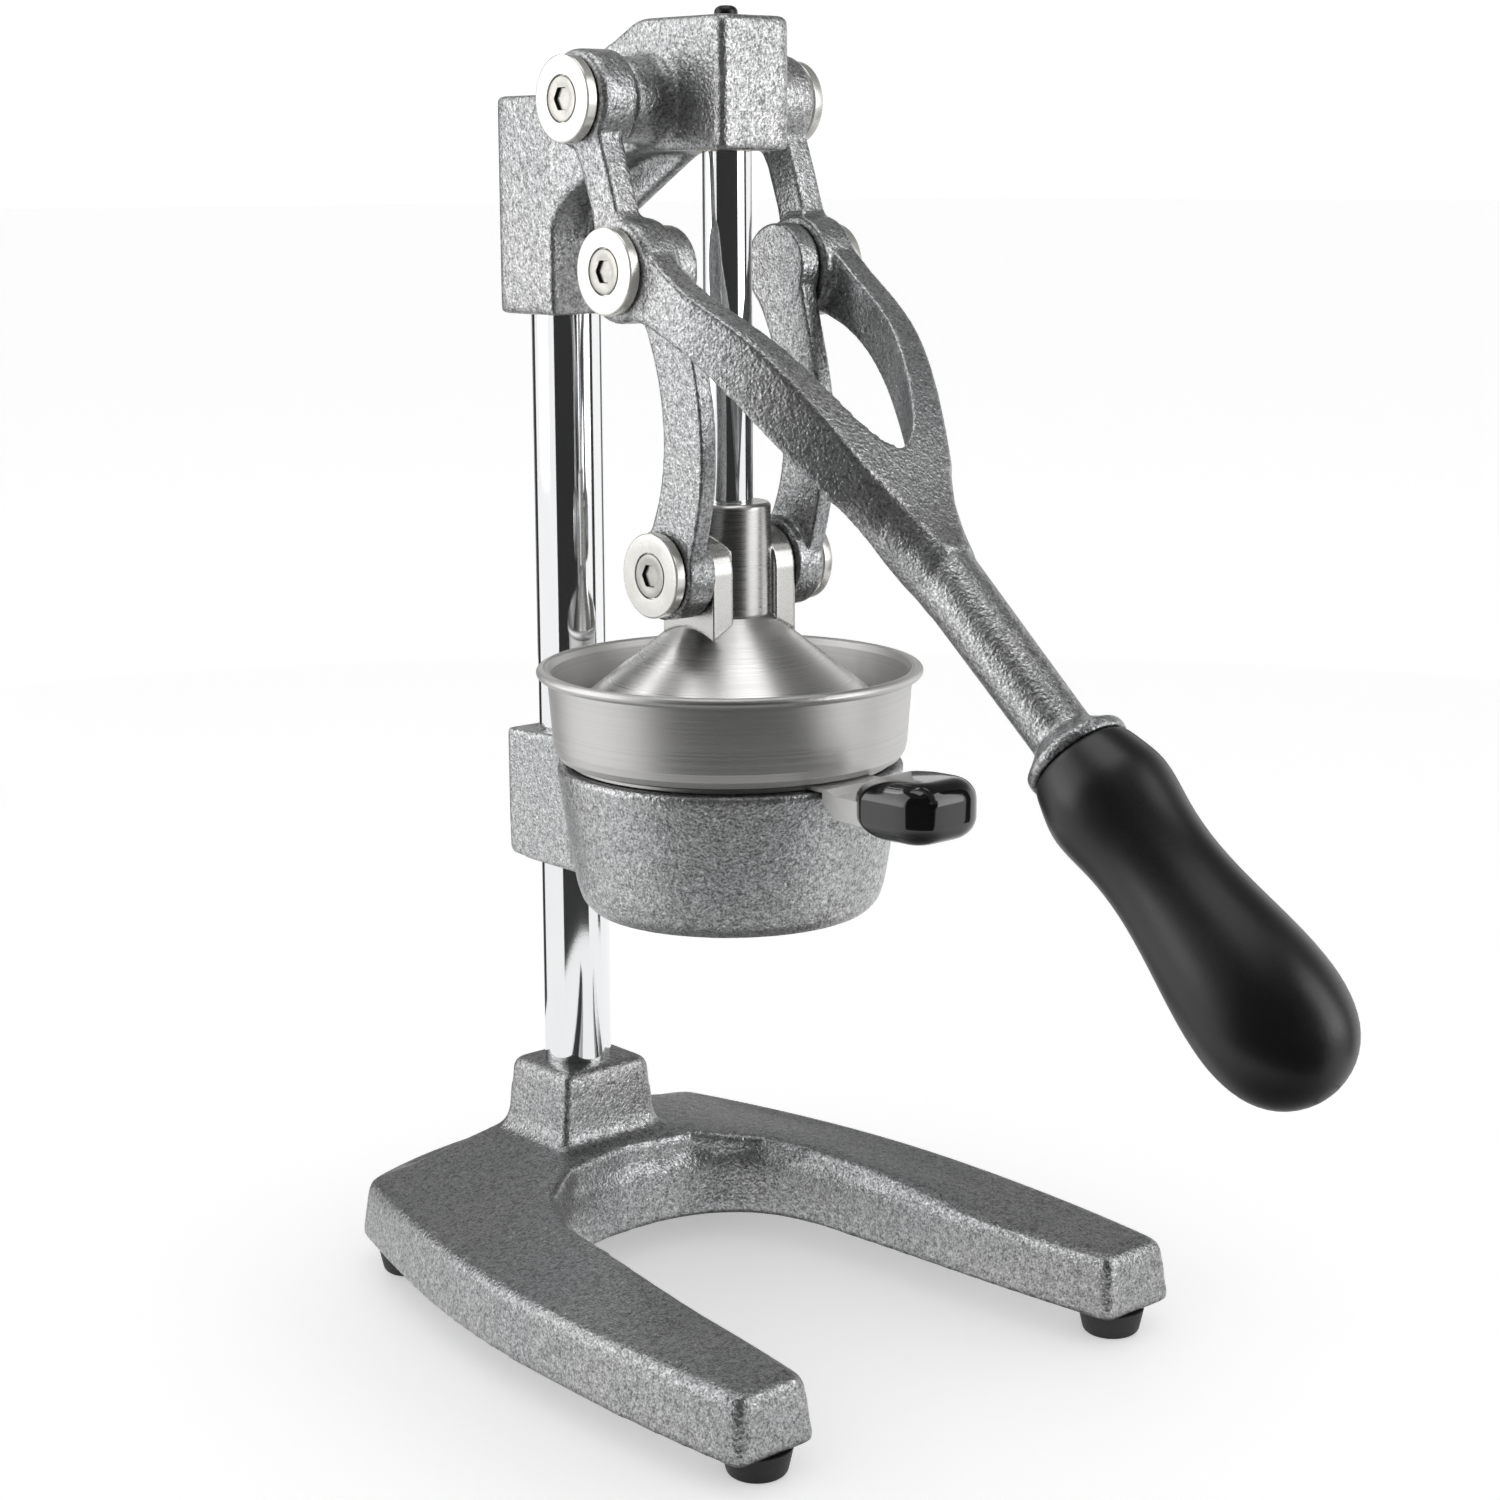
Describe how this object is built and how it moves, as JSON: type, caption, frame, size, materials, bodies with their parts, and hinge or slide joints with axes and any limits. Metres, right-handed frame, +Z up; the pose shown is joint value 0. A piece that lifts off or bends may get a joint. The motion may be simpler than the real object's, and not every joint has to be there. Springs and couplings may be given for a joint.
{
  "type": "hand lever citrus press",
  "caption": "Hand-lever juice press: a forked lever and two links drive a bell down into a strainer cup held over a glass space on a U-shaped base.",
  "frame": {"origin": "floor level, at the middle of the overall footprint box", "axes": "+Z up, +X to the right of a user who faces the front of the press, -Y towards that user, where the lever grip points"},
  "size_m": [0.197, 0.3772, 0.4265],
  "materials": {
    "hammered_paint": "silver-grey hammertone paint over cast metal",
    "chrome": "mirror chrome plate",
    "stainless": "brushed stainless steel",
    "nickel_disc": "satin bright nickel plate",
    "steel_hardware": "plain machined steel",
    "black_grip": "matte moulded grip with a fine soft texture",
    "black_vinyl": "glossy dipped vinyl",
    "guide_bush": "plain turned bush",
    "rubber_foot": "moulded rubber",
    "black_screw": "black oxide steel"
  },
  "bodies": {
    "stand": {"base_casting": "hammered_paint", "foot_front_left": "rubber_foot", "foot_front_right": "rubber_foot", "foot_rear_left": "rubber_foot", "foot_rear_right": "rubber_foot", "foot_screw_front_left": "steel_hardware", "foot_screw_front_right": "steel_hardware", "foot_screw_rear_left": "steel_hardware", "foot_screw_rear_right": "steel_hardware", "post": "chrome", "post_bolt": "steel_hardware", "post_washer": "steel_hardware", "head_casting": "hammered_paint", "head_bush": "guide_bush", "head_set_screw_lower": "black_screw", "head_set_screw_upper": "black_screw", "pin_a_left": "steel_hardware", "pin_a_right": "steel_hardware", "disc_a_left": "nickel_disc", "disc_a_right": "nickel_disc", "screw_a_left": "steel_hardware", "screw_a_right": "steel_hardware", "bowl_holder": "hammered_paint", "holder_set_screw": "black_screw"},
    "lever": {"lever_fork": "hammered_paint", "lever_grip": "black_grip", "pin_b_left": "steel_hardware", "pin_b_right": "steel_hardware", "disc_b_left": "nickel_disc", "disc_b_right": "nickel_disc", "screw_b_left": "steel_hardware", "screw_b_right": "steel_hardware"},
    "ram": {"ram_rod": "chrome", "rod_cap_screw": "black_screw", "ram_collar": "stainless", "press_bell": "stainless", "bell_screw": "steel_hardware", "pin_c_left": "steel_hardware", "pin_c_right": "steel_hardware", "disc_c_left": "nickel_disc", "disc_c_right": "nickel_disc", "screw_c_left": "steel_hardware", "screw_c_right": "steel_hardware"},
    "link_left": {"link_left": "hammered_paint"},
    "link_right": {"link_right": "hammered_paint"},
    "juice_bowl": {"funnel": "stainless", "funnel_floor": "stainless", "funnel_spout": "stainless", "funnel_handle_bar": "stainless", "funnel_handle_grip": "black_vinyl", "strainer_cup": "stainless", "strainer_gutter": "stainless", "strainer_cone": "stainless"}
  },
  "joints": [
    {"name": "lever_hinge", "type": "hinge", "parent": "stand", "child": "lever", "pos_m": [0, 0.0815, 0.3978], "axis": [-1, 0, 0], "range_deg": [0, 80]},
    {"name": "ram_slide", "type": "slide", "parent": "stand", "child": "ram", "axis": [0, 0, 1], "range_m": [0, 0.0682]},
    {"name": "link_left_hinge", "type": "hinge", "parent": "ram", "child": "link_left", "pos_m": [0, 0.06, 0.2505], "axis": [1, 0, 0], "range_deg": [0, 21.8]},
    {"name": "link_right_hinge", "type": "hinge", "parent": "ram", "child": "link_right", "pos_m": [0, 0.06, 0.2505], "axis": [1, 0, 0], "range_deg": [0, 21.8]},
    {"name": "bowl_turn", "type": "hinge", "parent": "stand", "child": "juice_bowl", "pos_m": [0, 0.06, 0.1874], "axis": [0, 0, 1], "range_deg": [-35, 35]}
  ],
  "couplings": [
    {"joint": "ram_slide", "follows": "lever_hinge", "m_per_rad": 0.048787},
    {"joint": "link_left_hinge", "follows": "lever_hinge", "ratio": 0.27237},
    {"joint": "link_right_hinge", "follows": "lever_hinge", "ratio": 0.27237}
  ]
}
